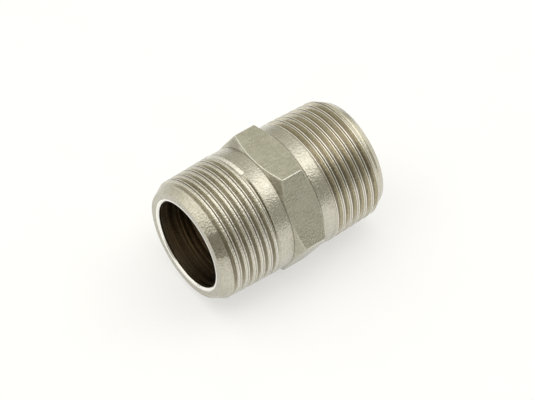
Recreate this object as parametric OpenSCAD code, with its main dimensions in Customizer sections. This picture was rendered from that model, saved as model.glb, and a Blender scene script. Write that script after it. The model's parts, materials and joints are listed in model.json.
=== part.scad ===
// Hex nipple: a short pipe connector with a male taper pipe thread on both ends
// and a hexagon in the middle for the wrench.  X is the pipe axis, +Z is up, and
// the origin is on the axis, halfway between the end faces.  The real nipple is
// turned from one bar, so each module here is one length of that bar and meets
// the next one face to face.  Millimetres.

/* [Overall] */
// Length from end face to end face
nipple_l = 40.2; // [39:0.1:46]
// Diameter of the through bore
bore_d = 19; // [17:0.1:19.6]
// Width of the small chamfer at each mouth of the bore
bore_lip = 0.3; // [0.1:0.05:0.5]

/* [Taper thread] */
// Axial distance from one crest to the next (R 3/4, 14 threads per inch)
thread_pitch = 1.814; // [1.6:0.001:2.0]
// Major diameter where the gauge plane crosses the thread
gauge_d = 26.441; // [26.2:0.001:26.7]
// Distance of the gauge plane from the end face
gauge_l = 9.5; // [8:0.1:11]
// Length of each thread, from the end face to the neck
thread_l = 13.4; // [13:0.1:14]
// Axial width of the flat on each crest
crest_flat = 0.5; // [0.3:0.05:0.7]
// Height cut off the sharp-rounded crest to make that flat
crest_cut = 0.06; // [0.02:0.01:0.12]
// Depth of the groove below the crest flat
groove_depth = 0.85; // [0.7:0.05:1]

/* [Ends] */
// Diameter of the flat end face, inside its chamfer
end_face_d = 23.1; // [22:0.1:24]
// Angle of the end chamfer from the pipe axis
end_chamfer_angle = 30; // [25:1:35]

/* [Necks and hexagon] */
// Diameter of the plain neck between a thread and the hexagon
neck_d = 26.3; // [26:0.05:26.5]
// Length of the plain neck left of the hexagon
left_neck_l = 3.3; // [2.8:0.05:3.6]
// Length of the plain neck right of the hexagon
right_neck_l = 2.95; // [2.8:0.05:3.6]
// Size of the hexagon across its flats
hex_across_flats = 26.6; // [26.6:0.1:28]
// Angle between the hexagon's end chamfers and its end planes
hex_chamfer_angle = 30; // [25:1:35]

/* [Smoothness] */
// Straight steps in one turn of the thread
steps_per_turn = 48; // [36:4:56]

/* [Hidden] */
$fn = 96;
taper = 1 / 16;                        // change of diameter per length, both threads
through = 1;                           // how far cutters run past a face
hex_corner_r = hex_across_flats / 2 / cos(30);
end_x = nipple_l / 2;                  // from the middle to either end face
thread_end_x = end_x - thread_l;
hex_from = left_neck_l - thread_end_x; // the hexagon's left end
hex_to = thread_end_x - right_neck_l;  // and its right end
flank = (thread_pitch - crest_flat) / 2;      // half the mouth of the V groove
flank_w = groove_depth * tan(27.5);           // one flank of a 55 degree thread, along the axis
first_crest = 0.05;                    // where the first crest starts, from the end face
turn_parts = 24;                       // the groove stops at a whole part of a turn
turns = floor(((thread_l - first_crest) / thread_pitch - 1) * turn_parts) / turn_parts;
run_out = 0.06;                        // turns over which the groove gets shallower
least_depth = 0.12;                    // depth at the groove's far end
left_start = 224;                      // angle where the left thread starts
right_start = 15;                      // angle where the right thread starts
brass_nickel = [0.70, 0.68, 0.61];
hex_nickel = [0.66, 0.64, 0.56];
neck_nickel = [0.78, 0.76, 0.69];

// Radius of the crests at a distance s from the end face
function crest_r(s) = gauge_d / 2 - crest_cut + (s - gauge_l) * taper / 2;

// Radius of the blank before the thread is cut: the crest cone and the end chamfer
function blank_r(s) = min(crest_r(s), end_face_d / 2 + s * tan(end_chamfer_angle));

// Places across one pitch where the profile turns: crest, crest, root, root
profile_at = [0, crest_flat, crest_flat + flank_w, thread_pitch - flank_w];
profile_depth = [0, 0, 1, 1];

// Depth of the groove at a step: full at first, then less over the run-out
function groove_at(step, turns) =
    let (left = turns - step / steps_per_turn)
    left > run_out ? groove_depth : max(least_depth, groove_depth * left / run_out);

// A point at a radius and an angle, at a distance s from the end face
function ring_point(s, r, angle) = [s, r * cos(angle), r * sin(angle)];

// A point of the screw at the given step along it and corner of the profile
function screw_point(step, corner) =
    let (s = first_crest + thread_pitch * step / steps_per_turn + profile_at[corner])
    let (cut = crest_r(s) - profile_depth[corner] * groove_at(step, turns))
    ring_point(s, min(cut, blank_r(s)), step * 360 / steps_per_turn);

// The screw is one helical strip, four corners wide, whose edges join the turns on
// either side.  The first turn joins the end face's rim.  Past the groove's end the
// crest goes on alone for one turn and joins the far rim.
module taper_screw() {
    rim = steps_per_turn;
    steps = round(turns * rim);
    corners = len(profile_at);
    near_rim = [for (i = [0:rim - 1]) ring_point(0, end_face_d / 2, i * 360 / rim)];
    far_rim = [for (i = [0:rim - 1]) ring_point(thread_l, crest_r(thread_l), i * 360 / rim)];
    strip = [for (step = [0:steps]) for (corner = [0:corners - 1]) screw_point(step, corner)];
    last_crest = [for (step = [steps + 1:steps + rim]) screw_point(step, 0)];

    function near(step) = step % rim;
    function far(step) = rim + step % rim;
    function at(step, corner) = 2 * rim + step * corners + corner;
    function crest(step) = step <= steps ? at(step, 0) : at(steps, corners - 1) + step - steps;
    function quad(a, b, c, d) = [[a, b, c], [a, c, d]];
    // A flat wall across the groove, fanned from its root, between the crests low and high
    function wall(step, low, high, edge) = [
        [at(step, 2), at(step, 3), high], [at(step, 2), high, edge],
        [at(step, 2), edge, low], [at(step, 2), low, at(step, 1)]
    ];
    function turned(triangles) = [for (t = triangles) [t[0], t[2], t[1]]];

    faces = concat(
        [[for (i = [rim - 1:-1:0]) near(i)]],
        [[for (i = [0:rim - 1]) far(i)]],
        [for (step = [0:rim - 1]) each
            quad(near(step), near(step + 1), crest(step + 1), crest(step))],
        [for (step = [0:steps - 1]) for (corner = [0:corners - 2]) each
            quad(at(step, corner), at(step + 1, corner), at(step + 1, corner + 1), at(step, corner + 1))],
        [for (step = [0:steps - 1]) each
            quad(at(step, 3), at(step + 1, 3), crest(step + 1 + rim), crest(step + rim))],
        [for (step = [steps:steps + rim - 1]) each
            quad(crest(step), crest(step + 1), far(step + 1), far(step))],
        wall(0, crest(0), crest(rim), near(0)),
        turned(wall(steps, crest(steps), crest(steps + rim), far(steps)))
    );
    polyhedron(points = concat(near_rim, far_rim, strip, last_crest), faces = faces, convexity = 12);
}

module along_x() {
    rotate([0, 90, 0]) children();
}

// The bore, cut through whatever stands on the axis
module bore() {
    translate([-end_x - through, 0, 0]) along_x() cylinder(d = bore_d, h = nipple_l + 2 * through);
}

// The small chamfer at the left mouth of the bore
module bore_mouth() {
    mouth_r = bore_d / 2 + bore_lip;
    translate([-end_x, 0, 0]) along_x() cylinder(r1 = mouth_r, r2 = bore_d / 2, h = bore_lip);
}

// One threaded end, as the left one: start is the angle where its thread begins
module threaded_end(start) {
    difference() {
        translate([-end_x, 0, 0]) rotate([start, 0, 0]) taper_screw();
        bore();
        bore_mouth();
    }
}

module plain_neck(from_x, to_x) {
    difference() {
        translate([from_x, 0, 0]) along_x() cylinder(d = neck_d, h = to_x - from_x);
        bore();
    }
}

// A cone that trims the hexagon's corners, its narrow end at the neck.  side is the
// way it points: -1 to the left, 1 to the right.
module corner_trim(narrow_x, side) {
    trim_l = hex_to - hex_from + through;
    big_r = neck_d / 2 + trim_l / tan(hex_chamfer_angle);
    translate([narrow_x, 0, 0]) rotate([0, -side * 90, 0])
        cylinder(r1 = neck_d / 2, r2 = big_r, h = trim_l);
}

module left_thread() {
    color(brass_nickel) threaded_end(left_start);
}

module left_neck() {
    color(neck_nickel) plain_neck(-thread_end_x, hex_from);
}

module hex_body() {
    color(hex_nickel) difference() {
        intersection() {
            translate([hex_from, 0, 0]) along_x() rotate([0, 0, 30])
                cylinder(r = hex_corner_r, h = hex_to - hex_from, $fn = 6);
            corner_trim(hex_from, -1);
            corner_trim(hex_to, 1);
        }
        bore();
    }
}

module right_neck() {
    color(neck_nickel) plain_neck(hex_to, thread_end_x);
}

module right_thread() {
    color(brass_nickel) rotate([0, 0, 180]) threaded_end(right_start);
}

left_thread();
left_neck();
hex_body();
right_neck();
right_thread();
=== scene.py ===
import json
import math

import bpy
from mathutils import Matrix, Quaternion, Vector, noise


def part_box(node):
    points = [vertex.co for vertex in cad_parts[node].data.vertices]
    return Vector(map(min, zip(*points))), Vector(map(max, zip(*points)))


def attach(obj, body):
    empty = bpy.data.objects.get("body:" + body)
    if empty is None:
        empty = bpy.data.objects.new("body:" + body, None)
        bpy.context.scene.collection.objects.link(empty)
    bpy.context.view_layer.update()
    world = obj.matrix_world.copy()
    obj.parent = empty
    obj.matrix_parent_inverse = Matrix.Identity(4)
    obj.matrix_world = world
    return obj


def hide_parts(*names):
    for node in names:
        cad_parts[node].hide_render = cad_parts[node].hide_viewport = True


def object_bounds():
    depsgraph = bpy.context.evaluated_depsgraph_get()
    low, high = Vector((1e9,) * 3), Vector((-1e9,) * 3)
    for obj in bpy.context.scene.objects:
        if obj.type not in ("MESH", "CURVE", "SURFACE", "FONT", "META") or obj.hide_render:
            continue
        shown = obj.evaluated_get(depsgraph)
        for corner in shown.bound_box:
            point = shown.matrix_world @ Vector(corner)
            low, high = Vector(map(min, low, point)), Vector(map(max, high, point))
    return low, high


# Hex nipple: detailed meshes and nickel-plated metal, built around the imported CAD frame.
# The pipe axis is X and +Z is up.  Shapes are worked out in millimetres and written to the
# meshes in metres.  An angle is measured round the axis, from +Y towards +Z.

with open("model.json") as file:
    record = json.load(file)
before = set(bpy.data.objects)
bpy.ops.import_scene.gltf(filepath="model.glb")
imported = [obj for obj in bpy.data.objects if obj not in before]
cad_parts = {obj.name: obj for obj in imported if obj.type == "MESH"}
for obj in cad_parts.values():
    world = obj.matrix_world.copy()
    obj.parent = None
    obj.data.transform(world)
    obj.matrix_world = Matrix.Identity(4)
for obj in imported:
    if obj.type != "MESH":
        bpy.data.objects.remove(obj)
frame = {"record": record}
cad_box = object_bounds()

MM = 0.001
record = frame["record"]
bore_mount = next(m for m in record["mounts"] if m["name"] == "through_bore")

# Sizes that the CAD frame gives, in millimetres
END_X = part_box("right_thread")[1][0] / MM
THREAD_END_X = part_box("right_thread")[0][0] / MM
HEX_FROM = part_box("hex_body")[0][0] / MM
HEX_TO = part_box("hex_body")[1][0] / MM
HEX_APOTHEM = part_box("hex_body")[1][2] / MM
NECK_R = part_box("right_neck")[1][2] / MM
BORE_R = bore_mount["dims"]["r_mm"]
BORE_LIP = END_X - bore_mount["dims"]["length_mm"] / 2
THREAD_L = END_X - THREAD_END_X

# The taper thread, as in the CAD
PITCH = 1.814
GAUGE_R = 26.441 / 2
GAUGE_L = 9.5
TAPER = 1 / 16
CREST_CUT = 0.06
END_FACE_R = 23.1 / 2
END_CHAMFER = math.tan(math.radians(30))
FLANK_SLOPE = 1 / math.tan(math.radians(27.5))
GROOVE_BOTTOM = 0.82

# Thread forms as (distance from the crest's middle, depth), distances growing inwards.  Each
# crest carries two small rolled-up lips with a valley between them.  The left thread's crests
# are worn round on the side of the end face.
LEFT_FORM = (
    (-PITCH / 2, GROOVE_BOTTOM), (-0.80, 0.79), (-0.62, 0.11), (-0.57, 0.055), (-0.32, 0.003),
    (-0.18, 0.0), (-0.11, 0.09), (0.0, 0.14), (0.12, 0.09), (0.18, 0.0), (0.29, 0.0),
    (0.32, 0.02), (0.34, 0.10), (0.68, 0.79), (PITCH / 2, GROOVE_BOTTOM),
)
# The right thread's form is the same on both sides of a crest, so this is half of it
RIGHT_HALF = (
    (0.0, 0.18), (0.14, 0.10), (0.20, 0.0), (0.31, 0.0), (0.33, 0.02), (0.35, 0.10),
    (0.68, 0.79), (PITCH / 2, GROOVE_BOTTOM),
)
RIGHT_FORM = tuple((-u, depth) for u, depth in reversed(RIGHT_HALF[1:])) + RIGHT_HALF
LIP_AT = 0.245           # where the lips stand, from the crest's middle
LIP_HALF = 0.08          # half of a lip's width
VALLEY_HALF = 0.18       # the painted shade in the valley between them reaches this far
FLANK_HIGHLIGHT_AT = 0.52            # the flanks carry a painted highlight here
FLANK_HIGHLIGHT_HALF = 0.24
SHOULDER_W = 0.12        # the thread's blank comes down to the neck over this length

# Unevenness of the metal
TOOL_LINES = 0.020       # height of the lines that the cutter left on the flanks
EDGE_BLUR = 0.02         # how far the tool and the plating have rounded the form's corners
BURR = 0.025             # height of the burrs along the lips
BURR_HALF = 0.1          # how far from a lip's middle they reach
WAVE = 0.010             # height of the broad waves in the skin of the threads and the bore
RIPPLE = 0.008           # and of the finer ones
MOUTH_MARGIN = 0.12      # the bore's waves stop this far from its lip
SKIN = 0.015             # the screw stays this far under its blank, as room for all of these

# How finely the meshes are cut
THREAD_STEPS = 240
ROUND_STEPS = 240
BORE_ROWS = 48
RING_GAP = 0.03          # the screw's mesh keeps this far from the ends of the thread

# Places in each piece's list of materials
OUTSIDE, BORE, END_FACE, RIM = range(4)


def smooth(low, high, value):
    """0 below low, 1 above high, and an even S between them."""
    t = min(1.0, max(0.0, (value - low) / (high - low)))
    return t * t * (3 - 2 * t)


def hump(centre, half_width, value):
    """1 at the centre, falling smoothly to 0 at half_width on either side."""
    return 1 - smooth(0, half_width, abs(value - centre))


def turn_gap(angle, other):
    """Signed difference of two angles in degrees, from -180 to 180."""
    return (angle - other + 180) % 360 - 180


def rough(x, r, angle, scale, seed=0.0):
    """Smooth noise from -1 to 1 on the surface; features are about 1/scale mm across."""
    a = math.radians(angle)
    return noise.noise(Vector((x * scale + seed, r * math.cos(a) * scale, r * math.sin(a) * scale)))


# ---------------------------------------------------------------- mesh pieces


class Solid:
    """A closed solid of revolution-like shape: rings of points joined band by band."""

    def __init__(self, steps):
        self.steps = steps
        self.points = []
        self.recess = []
        self.wear = []
        self.faces = []
        self.slots = []
        self.sharp = set()

    def point(self, x, r, angle, recess=0.0, wear=0.0):
        """recess is 0 on the skin and 1 in a groove's root.  The last value is 1 where a highlight
        is painted into the colour and -1 where shade is painted."""
        a = math.radians(angle)
        self.points.append((x * MM, r * math.cos(a) * MM, r * math.sin(a) * MM))
        self.recess.append(recess)
        self.wear.append(wear)
        return len(self.points) - 1

    def face(self, ids, slot):
        kept = [v for i, v in enumerate(ids) if v != ids[i - 1]]
        if len(kept) >= 3:
            self.faces.append(kept)
            self.slots.append(slot)

    def band(self, ring_a, ring_b, slot):
        for j in range(self.steps):
            k = (j + 1) % self.steps
            self.face([ring_a[j], ring_a[k], ring_b[k], ring_b[j]], slot)

    def crease(self, ring):
        for j in range(self.steps):
            self.sharp.add(frozenset((ring[j], ring[(j + 1) % self.steps])))

    def finish(self, name, materials, node):
        mesh = bpy.data.meshes.new(name)
        mesh.from_pydata(self.points, [], self.faces)
        for material in materials:
            mesh.materials.append(material)
        mesh.polygons.foreach_set("material_index", self.slots)
        mesh.polygons.foreach_set("use_smooth", [True] * len(self.faces))
        for edge in mesh.edges:
            if frozenset(edge.vertices) in self.sharp:
                edge.use_edge_sharp = True
        for label, values in (("recess", self.recess), ("wear", self.wear)):
            layer = mesh.attributes.new(label, "FLOAT", "POINT")
            layer.data.foreach_set("value", values)
        mesh.validate()
        mesh.update()
        piece = bpy.data.objects.new(name, mesh)
        bpy.context.scene.collection.objects.link(piece)
        if signed_volume(mesh) < 0:
            mesh.flip_normals()
        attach(piece, "root")
        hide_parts(node)
        return piece


def signed_volume(mesh):
    mesh.calc_loop_triangles()
    v = mesh.vertices
    return sum(v[t.vertices[0]].co.dot(v[t.vertices[1]].co.cross(v[t.vertices[2]].co))
               for t in mesh.loop_triangles)


# ------------------------------------------------------------------- threads


def crest_r(s):
    """Radius of the crest flats at a distance s from the end face."""
    return GAUGE_R - CREST_CUT + (s - GAUGE_L) * TAPER / 2


def form_depth(form, u):
    """Depth below the crest by straight lines between the form's points."""
    for (u_a, depth_a), (u_b, depth_b) in zip(form, form[1:]):
        if u <= u_b:
            return depth_a + (depth_b - depth_a) * (max(u, u_a) - u_a) / (u_b - u_a)
    return form[-1][1]


def groove_depth(form, u):
    """The form's depth with its corners rounded."""
    offsets = (-EDGE_BLUR, -EDGE_BLUR / 2, 0, EDGE_BLUR / 2, EDGE_BLUR)
    return sum(form_depth(form, u + o) for o in offsets) / len(offsets)


def across_one_pitch():
    """Distances from a crest's middle to the next, close together where the profile turns."""
    half = [0, 0.06, 0.11, 0.14, 0.17, 0.20, 0.24, 0.28, 0.31, 0.34, 0.40, 0.46, 0.52, 0.58,
            0.64, 0.69, 0.74, 0.80, 0.86]
    return half + [PITCH / 2] + [PITCH - u for u in reversed(half[1:])]


class Thread:
    """How one end is threaded.  side is -1 on the left and 1 on the right.  phase is where the
    first crest's middle stands at angle 0, in the end's own frame, whose axis points inwards.
    The groove stops groove_end turns in and gets shallower over fade turns.  The flanks carry a
    painted highlight of the given strength, and marks adds what the tool left on the thread, with
    painted highlight and painted shade."""

    def __init__(self, side, form, phase, groove_end, fade, flank_highlight, marks):
        self.side = side
        self.form = form
        self.phase = phase
        self.groove_end = groove_end
        self.fade = fade
        self.flank_highlight = flank_highlight
        self.marks = marks
        self.known_depths = {}

    def in_nipple(self, s, angle):
        """(x, angle) in the nipple's frame of a place in the end's own frame."""
        if self.side < 0:
            return -END_X + s, angle
        return END_X - s, 180 - angle

    def cut_depth(self, s, u, turn):
        """Depth of the groove, with the tool's lines on its flanks."""
        if u not in self.known_depths:
            self.known_depths[u] = groove_depth(self.form, u)
        plain = self.known_depths[u]
        lines = TOOL_LINES * noise.noise(Vector((u % PITCH * 5, turn * 6, self.side)))
        depth = plain + lines * smooth(0.15, 0.4, plain)
        depth = min(depth, GROOVE_BOTTOM) * smooth(0, self.fade, self.groove_end - turn)
        return min(depth, max(0, THREAD_L - s) * FLANK_SLOPE)

    def add_painted_light(self, wear, u, world):
        """Adds painted highlights on the lips and flanks and painted shade in the valley between
        the lips.
        """
        valley_shade = 0.3 + 0.7 * smooth(0.2, 0.7, math.sin(math.radians(world)))  # painted shade in the valley, strongest on the upper side
        # painted highlight on the lips
        wear += smooth(0, 0.05, LIP_HALF - abs(abs(u) - LIP_AT))
        wear -= valley_shade * smooth(0, 0.08, VALLEY_HALF - abs(u))
        # painted highlight on the flanks that face -X
        return wear + self.flank_highlight * hump(FLANK_HIGHLIGHT_AT, FLANK_HIGHLIGHT_HALF, u * self.side)

    def surface(self, s, angle, u, turn):
        """(radius, depth below the blank, painted light) of a point of the screw."""
        x, world = self.in_nipple(s, angle)
        shoulder = NECK_R + (crest_r(s) - NECK_R) * smooth(0, SHOULDER_W, THREAD_L - s)
        nose = END_FACE_R + s * END_CHAMFER
        cut_r = crest_r(s) - self.cut_depth(s, u, turn)
        low, blank, wear = self.marks(s, angle, cut_r, min(shoulder, nose))
        if nose > shoulder and self.groove_end > turn:
            wear = self.add_painted_light(wear, u, world)
        wave = WAVE * rough(x, blank, world, 0.9, 3.0) + RIPPLE * rough(x, blank, world, 3.1, 5.0)
        burr = BURR * max(0, rough(x, blank, world, 2.6, 8.0)) * hump(LIP_AT, BURR_HALF, abs(u))
        r = min(low, blank - SKIN)
        return min(r + wave + burr, blank), blank - r, wear


def screw_columns(thread, place):
    """(ring at the end face, ring at the neck, columns of points between them, rows to a pitch).
    A column runs inwards at one angle.  Where it leaves the thread it stays on the end ring."""
    across = across_one_pitch()
    per_pitch = len(across)
    near, far, columns = [], [], []
    for j in range(THREAD_STEPS):
        angle = 360 * j / THREAD_STEPS
        near.append(place(RING_GAP, END_FACE_R + RING_GAP * END_CHAMFER, angle))
        far.append(place(THREAD_L, thread.marks(THREAD_L, angle, NECK_R, NECK_R)[0], angle))
        column = []
        for i in range(-2 * per_pitch, (int(THREAD_L / PITCH) + 2) * per_pitch):
            turn = angle / 360 + i // per_pitch
            u = across[i % per_pitch]
            s = thread.phase + PITCH * turn + u
            if s <= RING_GAP * 2:
                column.append(near[j])
            elif s >= THREAD_L - RING_GAP:
                column.append(far[j])
            else:
                signed = u if u <= PITCH / 2 else u - PITCH
                r, depth, wear = thread.surface(s, angle, signed, turn)
                column.append(place(s, r, angle, depth / GROOVE_BOTTOM, wear))
        columns.append(column)
    return near, far, columns, per_pitch


def screw(solid, thread, place):
    """Joins the screw's columns, the last to the first one pitch further in.  Gives back the
    rings at the end face and at the neck."""
    near, far, columns, per_pitch = screw_columns(thread, place)
    after_a_turn = columns[0][per_pitch:] + [far[0]] * per_pitch
    for here, beside in zip(columns, columns[1:] + [after_a_turn]):
        for i in range(len(here) - 1):
            solid.face([here[i], beside[i], beside[i + 1], here[i + 1]], OUTSIDE)
    return near, far


def bore_and_face(solid, side, ring, near, far):
    """The bore from the neck outwards, its mouth and the end face, up to the screw again."""
    inside = [ring(THREAD_L, BORE_R)]
    solid.band(far, inside[0], OUTSIDE)
    solid.crease(far)
    solid.crease(inside[0])
    waves_from = BORE_LIP + MOUTH_MARGIN
    for k in range(BORE_ROWS - 1, -1, -1):
        s = waves_from + (THREAD_L - waves_from) * k / BORE_ROWS
        ridge = WAVE * noise.noise(Vector((s * 1.7, side, 0)))
        ridge += RIPPLE * noise.noise(Vector((s * 5.3, side, 4)))
        inside.append(ring(s, BORE_R + (ridge if 0 < k else 0)))
    for a, b in zip(inside, inside[1:]):
        solid.band(a, b, BORE)
    # the mouth is a 45 degree lip with both its edges rounded
    face_from = BORE_R + BORE_LIP + 0.05
    mouth = [ring(BORE_LIP + 0.02, BORE_R), ring(BORE_LIP - 0.01, BORE_R + 0.01),
             ring(BORE_LIP - 0.04, BORE_R + 0.04), ring(0.06, BORE_R + BORE_LIP - 0.06),
             ring(0.015, BORE_R + BORE_LIP), ring(0.0, face_from)]
    solid.band(inside[-1], mouth[0], BORE)
    # the lip's material is the rim's painted highlight
    for a, b in zip(mouth, mouth[1:]):
        solid.band(a, b, RIM)
    # the end face is flat up to a rounded edge
    flat_w = END_FACE_R - 0.1 - face_from
    face_rows = [ring(0.0, face_from + flat_w * t) for t in (0.17, 0.4, 0.65, 0.9, 1)]
    face_rows.append(ring(0.008, END_FACE_R - 0.04))
    solid.band(mouth[-1], face_rows[0], RIM)
    for a, b in zip(face_rows, face_rows[1:]):
        solid.band(a, b, END_FACE)
    solid.band(face_rows[-1], near, END_FACE)


def threaded_end(name, node, thread, materials):
    solid = Solid(THREAD_STEPS)

    def place(s, r, angle, recess=0.0, wear=0.0):
        x, world = thread.in_nipple(s, angle)
        return solid.point(x, r, world, recess, wear)

    def ring(s, r):
        return [place(s, r, 360 * j / THREAD_STEPS) for j in range(THREAD_STEPS)]

    near, far = screw(solid, thread, place)
    bore_and_face(solid, thread.side, ring, near, far)
    return solid.finish(name, materials, node)


# --------------------------------------------------------------- plain necks


def plain_neck(name, node, from_x, to_x, materials):
    """A neck.  Painted shade darkens the corner where it meets the hexagon."""
    corner_x = min(from_x, to_x, key=abs)
    length = to_x - from_x
    solid = Solid(ROUND_STEPS)
    rows = 24
    bore_rows = 5

    def ring(x, r, wavy):
        ids = []
        for j in range(ROUND_STEPS):
            angle = 360 * j / ROUND_STEPS
            waves = 0.006 * rough(x, r, angle, 0.35, 2.0) + 0.003 * rough(x, r, angle, 2.0, 5.0)
            # painted shade in the corner next to the hexagon
            wear = smooth(0.06, 0.22, abs(x - corner_x)) - 1
            ids.append(solid.point(x, r + wavy * waves, angle, wear=wear))
        return ids

    outside = [ring(from_x + length * k / rows, NECK_R, math.sin(math.pi * k / rows) ** 0.5)
               for k in range(rows + 1)]
    inside = [ring(from_x + length * k / bore_rows, BORE_R, 0) for k in range(bore_rows + 1)]
    for a, b in zip(outside, outside[1:]):
        solid.band(a, b, OUTSIDE)
    for a, b in zip(inside, inside[1:]):
        solid.band(b, a, BORE)
    solid.band(inside[0], outside[0], OUTSIDE)
    solid.band(outside[-1], inside[-1], OUTSIDE)
    for rim in (outside[0], outside[-1], inside[0], inside[-1]):
        solid.crease(rim)
    return solid.finish(name, materials, node)


# ------------------------------------------------------------------- hexagon

CORNER_R = 0.12          # rounding of the six long edges
CHAMFER_SLOPE = math.tan(math.radians(60))
CHAMFER_EDGE = 0.09      # how far the rounding of the chamfer's edge reaches
TOP_FLAT = 90        # the top flat, whose chamfer edge has the strongest painted highlight
LEAST_PAINT_STRENGTH = 0.4         # strength of the painted light on the other flats' chamfers, as a share of that one's
# Radii, as shares of the apothem, between which the chamfer turns dark with painted shade and a
# long edge bright with a painted highlight
SHADE_FROM = 1.04
SHADE_TO = 1.09
HIGHLIGHT_FROM = 1.1495
HIGHLIGHT_TO = 1.1520
HEX_SKIN = 0.010         # the flats stay this far under the CAD's, as room for their waves


def hex_columns():
    """(angle, radius) all round the hexagon: flats, with each long edge as a small arc."""
    centre_r = (HEX_APOTHEM - CORNER_R) / math.cos(math.radians(30))
    flat_half = (HEX_APOTHEM - CORNER_R) * math.tan(math.radians(30))
    along_flat = (-0.985, -0.95, *[-0.9 + 1.8 * k / 20 for k in range(21)], 0.95, 0.985)
    arc_steps = 8
    columns = []
    for corner in range(6):
        middle = 60 * corner
        for k in range(arc_steps + 1):
            a = math.radians(-30 + 60 * k / arc_steps)
            along = centre_r + CORNER_R * math.cos(a)
            across = CORNER_R * math.sin(a)
            turn = math.degrees(math.atan2(across, along))
            columns.append((middle + turn, math.hypot(along, across)))
        for t in along_flat:
            across = flat_half * t
            columns.append((middle + 30 + math.degrees(math.atan2(across, HEX_APOTHEM)),
                            math.hypot(across, HEX_APOTHEM)))
    return columns


def half_profile(outer, paint_strength):
    """(distance from the hexagon's end, radius, painted light) from the neck up onto the flat.  The
    second argument is how strongly this side is painted: a painted highlight along its chamfer's
    edge and painted shade on its chamfer towards the corners."""
    chamfer = (outer - NECK_R) / CHAMFER_SLOPE
    length = math.hypot(chamfer, outer - NECK_R)
    reach = min(CHAMFER_EDGE, length * 0.45)
    start = 1 - reach / length
    # painted shade on the chamfer towards the corners
    painted_dark = -0.5 * paint_strength * smooth(HEX_APOTHEM * SHADE_FROM, HEX_APOTHEM * SHADE_TO, outer)
    points = []
    for t in (0, 0.04, 0.35, 0.7, 0.9, 1):
        wear = painted_dark * (1 - smooth(0.7, 1, t))
        points.append((chamfer * start * t, NECK_R + (outer - NECK_R) * start * t, wear))
    low, high = points[-1], (chamfer + reach, outer)
    # painted highlight along the rounded edge onto the flat
    for t in (0.25, 0.5, 0.75, 1):
        bend = [(1 - t) ** 2 * a + 2 * t * (1 - t) * b + t * t * c
                for a, b, c in zip(low, (chamfer, outer), high)]
        points.append((*bend, paint_strength * math.sin(math.pi * t)))
    return points


def hex_profile(angle, outer, width):
    """(distance from the hexagon's left end, radius, painted light) across the hexagon at one
    angle.
    """
    flat_rows = 16
    # the painted light is strongest on the top flat's side
    near_flat = smooth(-50, -32, -abs(turn_gap(angle, TOP_FLAT)))
    add_painted_light = LEAST_PAINT_STRENGTH + (1 - LEAST_PAINT_STRENGTH) * near_flat
    edge = half_profile(outer, add_painted_light)
    flat_from = edge[-1][0]
    flat_to = width - flat_from
    # painted highlight along the six long edges
    corner_highlight = smooth(HEX_APOTHEM * HIGHLIGHT_FROM, HEX_APOTHEM * HIGHLIGHT_TO, outer)
    middle = [(flat_from + (flat_to - flat_from) * k / flat_rows, outer, corner_highlight)
              for k in range(1, flat_rows)]
    return edge + middle + [(width - s, r, wear) for s, r, wear in reversed(edge)]


def hexagon(name, node, materials):
    columns = hex_columns()
    solid = Solid(len(columns))
    width = HEX_TO - HEX_FROM
    bore_rows = 8
    grid = []
    for angle, outer in columns:
        column = []
        for s, r, wear in hex_profile(angle, outer, width):
            x = HEX_FROM + s
            calm = smooth(0, 0.5, min(s, width - s))
            waves = 0.008 * rough(x, r, angle, 0.28, 4.0) + 0.004 * rough(x, r, angle, 1.2, 7.0)
            column.append(solid.point(x, r + calm * waves - HEX_SKIN * calm, angle, wear=wear))
        grid.append(column)
    rings = [[column[k] for column in grid] for k in range(len(grid[0]))]
    inside = [[solid.point(HEX_FROM + width * k / bore_rows, BORE_R, angle)
               for angle, outer in columns]
              for k in range(bore_rows + 1)]
    for a, b in zip(rings, rings[1:]):
        solid.band(a, b, OUTSIDE)
    for a, b in zip(inside, inside[1:]):
        solid.band(b, a, BORE)
    solid.band(inside[0], rings[0], OUTSIDE)
    solid.band(rings[-1], inside[-1], OUTSIDE)
    for rim in (rings[0], rings[-1], inside[0], inside[-1]):
        solid.crease(rim)
    return solid.finish(name, materials, node)


# ----------------------------------------------------------------- materials


class Graph:
    """A small helper that adds shader nodes and joins them."""

    def __init__(self, name):
        self.material = bpy.data.materials.new(name)
        self.material.use_nodes = True
        self.tree = self.material.node_tree
        self.tree.nodes.clear()

    def node(self, kind, settings=None, **inputs):
        made = self.tree.nodes.new(kind)
        for key, value in (settings or {}).items():
            setattr(made, key, value)
        for key, value in inputs.items():
            self.put(made.inputs[key.replace("_", " ")], value)
        return made

    def put(self, socket, value):
        if isinstance(value, bpy.types.NodeSocket):
            self.tree.links.new(value, socket)
        else:
            socket.default_value = value

    def math(self, operation, a, b=0.0, clamp=False):
        made = self.tree.nodes.new("ShaderNodeMath")
        made.operation = operation
        made.use_clamp = clamp
        self.put(made.inputs[0], a)
        self.put(made.inputs[1], b)
        return made.outputs[0]

    def mix(self, factor, a, b):
        made = self.tree.nodes.new("ShaderNodeMix")
        made.data_type = "RGBA"
        self.put(made.inputs["Factor"], factor)
        self.put(made.inputs["A"], a)
        self.put(made.inputs["B"], b)
        return made.outputs["Result"]

    def stretched_noise(self, scale, detail=2.0, roughness=0.5):
        """Noise in the row frame, with its own scale per axis, in features per metre."""
        place = self.node("ShaderNodeTexCoord").outputs["Object"]
        mapped = self.node("ShaderNodeMapping", Vector=place, Scale=scale).outputs["Vector"]
        made = self.node("ShaderNodeTexNoise", Vector=mapped, Scale=1.0, Detail=detail,
                         Roughness=roughness)
        return made.outputs["Factor" if "Factor" in made.outputs else "Fac"]

    def span(self, value, low, high, to_low, to_high):
        made = self.node("ShaderNodeMapRange", Value=value, From_Min=low, From_Max=high,
                         To_Min=to_low, To_Max=to_high)
        return made.outputs["Result"]

    def value(self, label):
        """A number that the mesh carries at its points."""
        return self.node("ShaderNodeAttribute", {"attribute_name": label}).outputs["Fac"]


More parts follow.
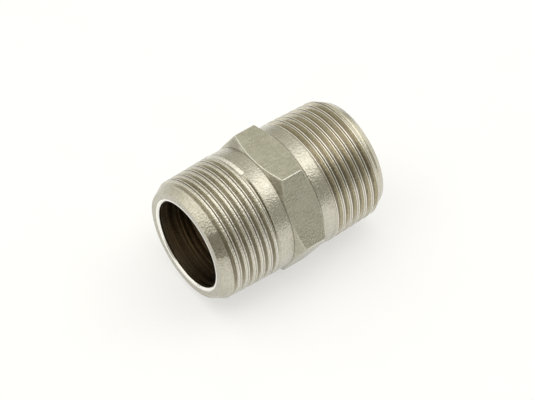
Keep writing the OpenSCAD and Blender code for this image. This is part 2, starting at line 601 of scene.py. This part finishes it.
def rgb(r, g, b):
    return (r, g, b, 1.0)


# Noise scales, in features per metre along each axis
CLOUD = (170, 170, 170)
PEBBLE = (2300, 2300, 2300)
SPECK = (9000, 9000, 9000)
ROUND_THE_AXIS = (9000, 90, 90)
ACROSS_THE_FACE = (90, 5000, 5000)
ALONG_THE_BAR = (500, 2600, 2600)
ROUND_THE_BORE = (3200, 40, 40)
WIDE_GRAIN = 0.23        # scale of the broad tool marks, as a share of the fine ones'
SPECK_DEPTH = 0.004      # in millimetres

# Colours of painted shade and of painted highlight
SHADE_PAINT = (0.14, 0.11, 0.075)
HIGHLIGHT_PAINT = (0.96, 0.94, 0.88)


def metal(name, light, dark, grain, streaks, grain_depth, pebble_depth, rough_low, rough_high,
          groove=None):
    """Nickel-plated metal.  grain is the noise scale that draws the tool's marks, and streaks is
    their share in the colour.  Depths are in millimetres.  groove is (light and dark colour of the
    flanks, made lighter than the skin as painted light, roughness added there, share of painted
    shade in the root)."""
    g = Graph(name)
    cloud = g.stretched_noise(CLOUD, 3.0)
    fine = g.stretched_noise(grain, 3.0, 0.6)
    wide = g.stretched_noise(tuple(k * WIDE_GRAIN for k in grain), 2.0)
    pebble = g.stretched_noise(PEBBLE, 3.0, 0.6)
    speck = g.stretched_noise(SPECK, 2.0, 0.6)
    broad_lines = g.math("MULTIPLY", wide, 0.25 * streaks)
    fine_lines = g.math("MULTIPLY", fine, 0.75 * streaks)
    drawn = g.math("ADD", broad_lines, fine_lines)
    tone = g.math("ADD", g.math("MULTIPLY", cloud, 0.3 * (1 - streaks)), drawn)
    tone = g.math("ADD", tone, g.math("MULTIPLY", pebble, 0.7 * (1 - streaks)))
    tone = g.span(tone, 0.38, 0.62, 0.0, 1.0)
    colour = g.mix(tone, rgb(*dark), rgb(*light))
    spread = g.math("ADD", g.math("MULTIPLY", wide, 0.5), g.math("MULTIPLY", speck, 0.5))
    roughness = g.span(spread, 0.3, 0.7, rough_low, rough_high)
    if groove:
        flank_light, flank_dark, added_roughness, root_shade_share = groove
        # painted light: the flanks are lighter than the skin, so the grooves look lit
        flank_painted_light = g.mix(tone, rgb(*flank_dark), rgb(*flank_light))
        deep = g.span(g.value("recess"), 0.10, 0.35, 0.0, 1.0)
        # painted shade darkens the groove's root
        root = g.span(g.value("recess"), 0.80, 0.95, 0.0, root_shade_share)
        colour = g.mix(deep, colour, flank_painted_light)
        colour = g.mix(root, colour, rgb(*SHADE_PAINT))
        roughness = g.math("ADD", roughness, g.math("MULTIPLY", deep, added_roughness))
    # painted highlight where the points' painted light value is positive, painted shade where it is
    # negative
    painted_highlight = g.span(g.value("wear"), 0.15, 0.9, 0.0, 0.92)
    painted_shade = g.span(g.value("wear"), -0.9, -0.1, 0.82, 0.0)
    colour = g.mix(painted_highlight, colour, rgb(*HIGHLIGHT_PAINT))
    colour = g.mix(painted_shade, colour, rgb(*SHADE_PAINT))
    roughness = g.math("SUBTRACT", roughness, g.math("MULTIPLY", painted_highlight, 0.06))
    marks = g.node("ShaderNodeBump", Height=fine, Strength=1.0, Distance=grain_depth * MM)
    broad = g.node("ShaderNodeBump", Height=wide, Strength=1.0, Distance=grain_depth * 2.2 * MM,
                   Normal=marks.outputs["Normal"])
    mottle = g.node("ShaderNodeBump", Height=speck, Strength=1.0, Distance=SPECK_DEPTH * MM,
                    Normal=broad.outputs["Normal"])
    pebbled = g.node("ShaderNodeBump", Height=pebble, Strength=1.0, Distance=pebble_depth * MM,
                     Normal=mottle.outputs["Normal"])
    shader = g.node("ShaderNodeBsdfPrincipled", Base_Color=colour, Metallic=1.0,
                    Roughness=roughness, Normal=pebbled.outputs["Normal"])
    g.node("ShaderNodeOutputMaterial", Surface=shader.outputs["BSDF"])
    return g.material


# The grooves' flank colours are painted light, and the last number is the share of painted shade in
# the root.
left_thread_metal = metal(
    "turned_thread_nickel", light=(0.63, 0.605, 0.525), dark=(0.46, 0.435, 0.35),
    grain=ROUND_THE_AXIS, streaks=0.4, grain_depth=0.004, pebble_depth=0.17,
    rough_low=0.15, rough_high=0.24,
    groove=((0.78, 0.75, 0.66), (0.56, 0.53, 0.43), 0.12, 0.74))
right_thread_metal = metal(
    "cut_thread_nickel", light=(0.63, 0.60, 0.515), dark=(0.47, 0.44, 0.35),
    grain=ROUND_THE_AXIS, streaks=0.5, grain_depth=0.004, pebble_depth=0.07,
    rough_low=0.13, rough_high=0.22,
    groove=((0.75, 0.71, 0.60), (0.52, 0.48, 0.37), 0.05, 0.80))
neck_metal = metal(
    "turned_neck_nickel", light=(0.64, 0.615, 0.54), dark=(0.48, 0.455, 0.375),
    grain=ROUND_THE_AXIS, streaks=0.3, grain_depth=0.003, pebble_depth=0.10,
    rough_low=0.15, rough_high=0.25)
hex_metal = metal(
    "drawn_bar_nickel", light=(0.58, 0.565, 0.475), dark=(0.43, 0.415, 0.325),
    grain=ALONG_THE_BAR, streaks=0.2, grain_depth=0.004, pebble_depth=0.11,
    rough_low=0.22, rough_high=0.34)
end_metal = metal(
    "faced_end_nickel", light=(0.58, 0.56, 0.49), dark=(0.43, 0.405, 0.335),
    grain=ACROSS_THE_FACE, streaks=0.2, grain_depth=0.003, pebble_depth=0.12,
    rough_low=0.20, rough_high=0.32)
# The rim is a painted highlight: near-white metal round the bore's mouth.
rim_highlight_metal = metal(
    "burnished_rim_nickel", light=(0.97, 0.96, 0.92), dark=(0.90, 0.88, 0.83),
    grain=ACROSS_THE_FACE, streaks=0.3, grain_depth=0.002, pebble_depth=0.03,
    rough_low=0.10, rough_high=0.20)
bore_metal = metal(
    "drilled_bore_nickel", light=(0.66, 0.56, 0.41), dark=(0.08, 0.06, 0.035),
    grain=ROUND_THE_BORE, streaks=1.0, grain_depth=0.05, pebble_depth=0.02,
    rough_low=0.20, rough_high=0.36)

# ------------------------------------------------------- marks on the left thread

LAND_FROM = 12.6         # the left thread's last land, which rises to a lip over the neck
LAND_STOP = 96           # the angle where that land stops short
LAND_LEAD = 0.011        # it creeps along the axis by this much per degree
LAND_SWEEP = 75          # degrees over which it shows
LAND_W = 0.85
LAND_LEAD_IN = 0.15      # its start slopes up over this length
LAND_FALL = 0.25         # and its end down over this one
LAND_DIP = 0.12          # how far under the neck it starts
LAND_RISE = 0.15         # how far over the neck it ends
# painted highlight on the land
LAND_HIGHLIGHT = 0.62
CUT_DEPTH = 0.42
CUT_AT = 13.05           # the shallow cut past the land, from the end face
CUT_HALF = 0.27
CUT_SWEEP = 90
SHADE_PATCH = (141, 14, 2.4)   # (angle, half its width, end) of a patch of painted shade on the end chamfer
# strength of the painted shade on that patch
PATCH_SHADE = 0.62


def left_marks(s, angle, low, blank):
    """The end of the left thread: a rising land that stops short, with a painted highlight, then
    one shallow cut, darkened with painted shade.  The chamfer at the thread's start has a patch of
    painted shade."""
    past_stop = turn_gap(angle, LAND_STOP)
    start = LAND_FROM + LAND_LEAD * past_stop
    if -LAND_SWEEP < past_stop <= 0 and s > start - LAND_LEAD_IN:
        fall = 1 - smooth(start + LAND_W, start + LAND_W + LAND_FALL, s)
        climb = smooth(start - LAND_LEAD_IN, start + LAND_W, s)
        rise = NECK_R - LAND_DIP + (LAND_RISE + LAND_DIP) * climb * fall
        # the land's painted highlight
        return rise, rise, LAND_HIGHLIGHT * smooth(start, start + 0.2, s) * fall
    cut = 0.0
    if 0 < past_stop < CUT_SWEEP:
        strength = smooth(0, 12, past_stop) * (1 - smooth(40, CUT_SWEEP, past_stop))
        cut = strength * hump(CUT_AT - 0.002 * past_stop, CUT_HALF, s)
    middle, half_width, end = SHADE_PATCH
    edge = half_width + 2 * rough(s, END_FACE_R, angle, 1.6, 6.0) - abs(turn_gap(angle, middle))
    painted_dark = smooth(0, 3, edge) * (1 - smooth(end - 0.3, end, s))
    # painted shade in the cut and on the patch
    return min(low, blank) - CUT_DEPTH * cut, blank, -max(cut, PATCH_SHADE * painted_dark)


def no_marks(s, angle, low, blank):
    return low, blank, 0.0


# -------------------------------------------------------------- the five pieces

# The flanks' painted highlight is stronger on the left thread.
left_thread = Thread(side=-1, form=LEFT_FORM, phase=0.985, groove_end=6.0, fade=0.15, flank_highlight=0.38,
                     marks=left_marks)
right_thread = Thread(side=1, form=RIGHT_FORM, phase=0.224, groove_end=6.45, fade=0.1, flank_highlight=0.25,
                      marks=no_marks)
threaded_end("left_thread_metal", "left_thread", left_thread,
             [left_thread_metal, bore_metal, end_metal, rim_highlight_metal])
threaded_end("right_thread_metal", "right_thread", right_thread,
             [right_thread_metal, bore_metal, end_metal, rim_highlight_metal])
plain_neck("left_neck_metal", "left_neck", -THREAD_END_X, HEX_FROM, [neck_metal, bore_metal])
plain_neck("right_neck_metal", "right_neck", HEX_TO, THREAD_END_X, [neck_metal, bore_metal])
hexagon("hex_metal_body", "hex_body", [hex_metal, bore_metal])

# ------------------------------------------------------------ floor and light

FLOOR_HALF = 3.0         # half of the floor's side, in metres
FLOOR_DARK = 0.45
FLOOR_LIGHT = 0.48
FLOOR_GLOW = 0.52        # lifts the paper's shadows, as a lit table does
LIT_R = 0.16             # the lit part of the table, in metres
DIM_R = 0.45             # beyond this the table is dim
DIM_GLOW = 0.10


def floor_material():
    g = Graph("pale_floor")
    shade = g.stretched_noise((60, 60, 60), 2.0)
    colour = g.mix(shade, rgb(FLOOR_DARK, FLOOR_DARK, FLOOR_DARK),
                   rgb(FLOOR_LIGHT, FLOOR_LIGHT, FLOOR_LIGHT))
    shader = g.node("ShaderNodeBsdfPrincipled", Base_Color=colour, Roughness=0.9)
    shader.inputs["Emission Color"].default_value = rgb(1, 1, 1)
    place = g.node("ShaderNodeTexCoord").outputs["Object"]
    length = g.node("ShaderNodeVectorMath", {"operation": "LENGTH"}, Vector=place)
    glow = g.span(length.outputs["Value"], LIT_R, DIM_R, FLOOR_GLOW, DIM_GLOW)
    g.put(shader.inputs["Emission Strength"], glow)
    g.node("ShaderNodeOutputMaterial", Surface=shader.outputs["BSDF"])
    return g.material


def floor():
    z = cad_box[0].z
    corners = [(x * FLOOR_HALF, y * FLOOR_HALF, z) for x, y in ((-1, -1), (1, -1), (1, 1), (-1, 1))]
    mesh = bpy.data.meshes.new("floor")
    mesh.from_pydata(corners, [], [(0, 1, 2, 3)])
    mesh.materials.append(floor_material())
    made = bpy.data.objects.new("floor", mesh)
    bpy.context.scene.collection.objects.link(made)


def softbox(name, place, width, depth, radiance, colour, turned=None):
    """A rectangular lamp that shows that radiance.  turned is its angle when it hangs level;
    without it the lamp stands upright and looks at the nipple."""
    lamp = bpy.data.lights.new(name, "AREA")
    lamp.shape = "RECTANGLE"
    lamp.size = width
    lamp.size_y = depth
    lamp.energy = math.pi * width * depth * radiance
    lamp.color = colour
    made = bpy.data.objects.new(name, lamp)
    made.location = place
    made.rotation_mode = "QUATERNION"
    if turned is None:
        made.rotation_quaternion = (-Vector(place)).to_track_quat("-Z", "Y")
    else:
        made.rotation_quaternion = Quaternion((0, 0, 1), math.radians(turned))
    bpy.context.scene.collection.objects.link(made)


OVERHEAD_Z = 0.62
OVERHEAD_TURN = -18
# The right-hand overhead lamp fades towards the back: (from, to, radiance) across it
OVERHEAD_RIGHT = ((-0.30, -0.05, 1.22), (-0.05, 0.11, 1.38), (0.11, 0.19, 0.92),
                  (0.19, 0.26, 0.62), (0.26, 0.35, 0.40), (0.35, 0.50, 0.28))
CLEAN_WHITE = (1.0, 0.99, 0.96)
WALL_WHITE = (1.0, 0.99, 0.94)


def overhead(name, along, across, radiance, colour):
    """A level lamp over the nipple, from..to along its own long side and across it."""
    turn = math.radians(OVERHEAD_TURN)
    a = (along[0] + along[1]) / 2
    c = (across[0] + across[1]) / 2
    x = a * math.cos(turn) - c * math.sin(turn)
    y = a * math.sin(turn) + c * math.cos(turn)
    softbox(name, (x, y, OVERHEAD_Z), along[1] - along[0], across[1] - across[0], radiance, colour,
            OVERHEAD_TURN)


def surroundings():
    world = bpy.data.worlds.new("studio")
    world.use_nodes = True
    background = world.node_tree.nodes["Background"]
    background.inputs["Color"].default_value = rgb(1.0, 0.985, 0.86)
    background.inputs["Strength"].default_value = 0.45
    bpy.context.scene.world = world


def camera():
    """The viewing angle: 48 degrees above the floor, 36 degrees round from the left."""
    turn = math.radians(-36.47)
    rise = math.radians(47.73)
    roll = math.radians(-1.03)
    distance = 0.451
    aim = Vector((-0.00027, -0.00002, -0.00016))
    level = math.cos(rise)
    back = Vector((math.sin(turn) * level, -math.cos(turn) * level, math.sin(rise)))
    data = bpy.data.cameras.new("camera")
    data.sensor_width = 36
    data.lens = 153
    data.clip_start = 0.01
    made = bpy.data.objects.new("camera", data)
    made.location = aim + back * distance
    made.rotation_mode = "QUATERNION"
    made.rotation_quaternion = (-back).to_track_quat("-Z", "Y") @ Quaternion((0, 0, 1), roll)
    bpy.context.scene.collection.objects.link(made)
    bpy.context.scene.camera = made


bpy.context.scene.view_settings.view_transform = "Standard"
floor()
surroundings()
for part, (back_from, back_to, strength) in enumerate(OVERHEAD_RIGHT):
    overhead(f"overhead_right_{part}", along=(-0.05, 1.1), across=(back_from, back_to),
             radiance=strength, colour=CLEAN_WHITE)
overhead("overhead_spot", along=(-0.05, 0.18), across=(-0.30, -0.05),
         radiance=1.3, colour=CLEAN_WHITE)
overhead("overhead_left_front", along=(-0.9, -0.05), across=(-0.30, 0.20),
         radiance=1.15, colour=(1.0, 0.98, 0.92))
overhead("overhead_left_back", along=(-0.9, -0.05), across=(0.20, 0.75),
         radiance=0.66, colour=(1.0, 0.97, 0.88))
softbox("left_wall", (-0.86, 0.42, 0.26), width=1.0, depth=0.46,
        radiance=0.62, colour=WALL_WHITE)
softbox("back_left_wall", (-0.30, 0.92, 0.40), width=0.75, depth=0.56,
        radiance=0.50, colour=WALL_WHITE)
softbox("right_wall", (0.95, -0.05, 0.26), width=0.9, depth=0.46,
        radiance=0.85, colour=(1.0, 0.99, 0.95))
softbox("back_wall", (0.55, 0.86, 0.66), width=0.9, depth=1.0,
        radiance=0.22, colour=(1.0, 0.985, 0.87))
camera()
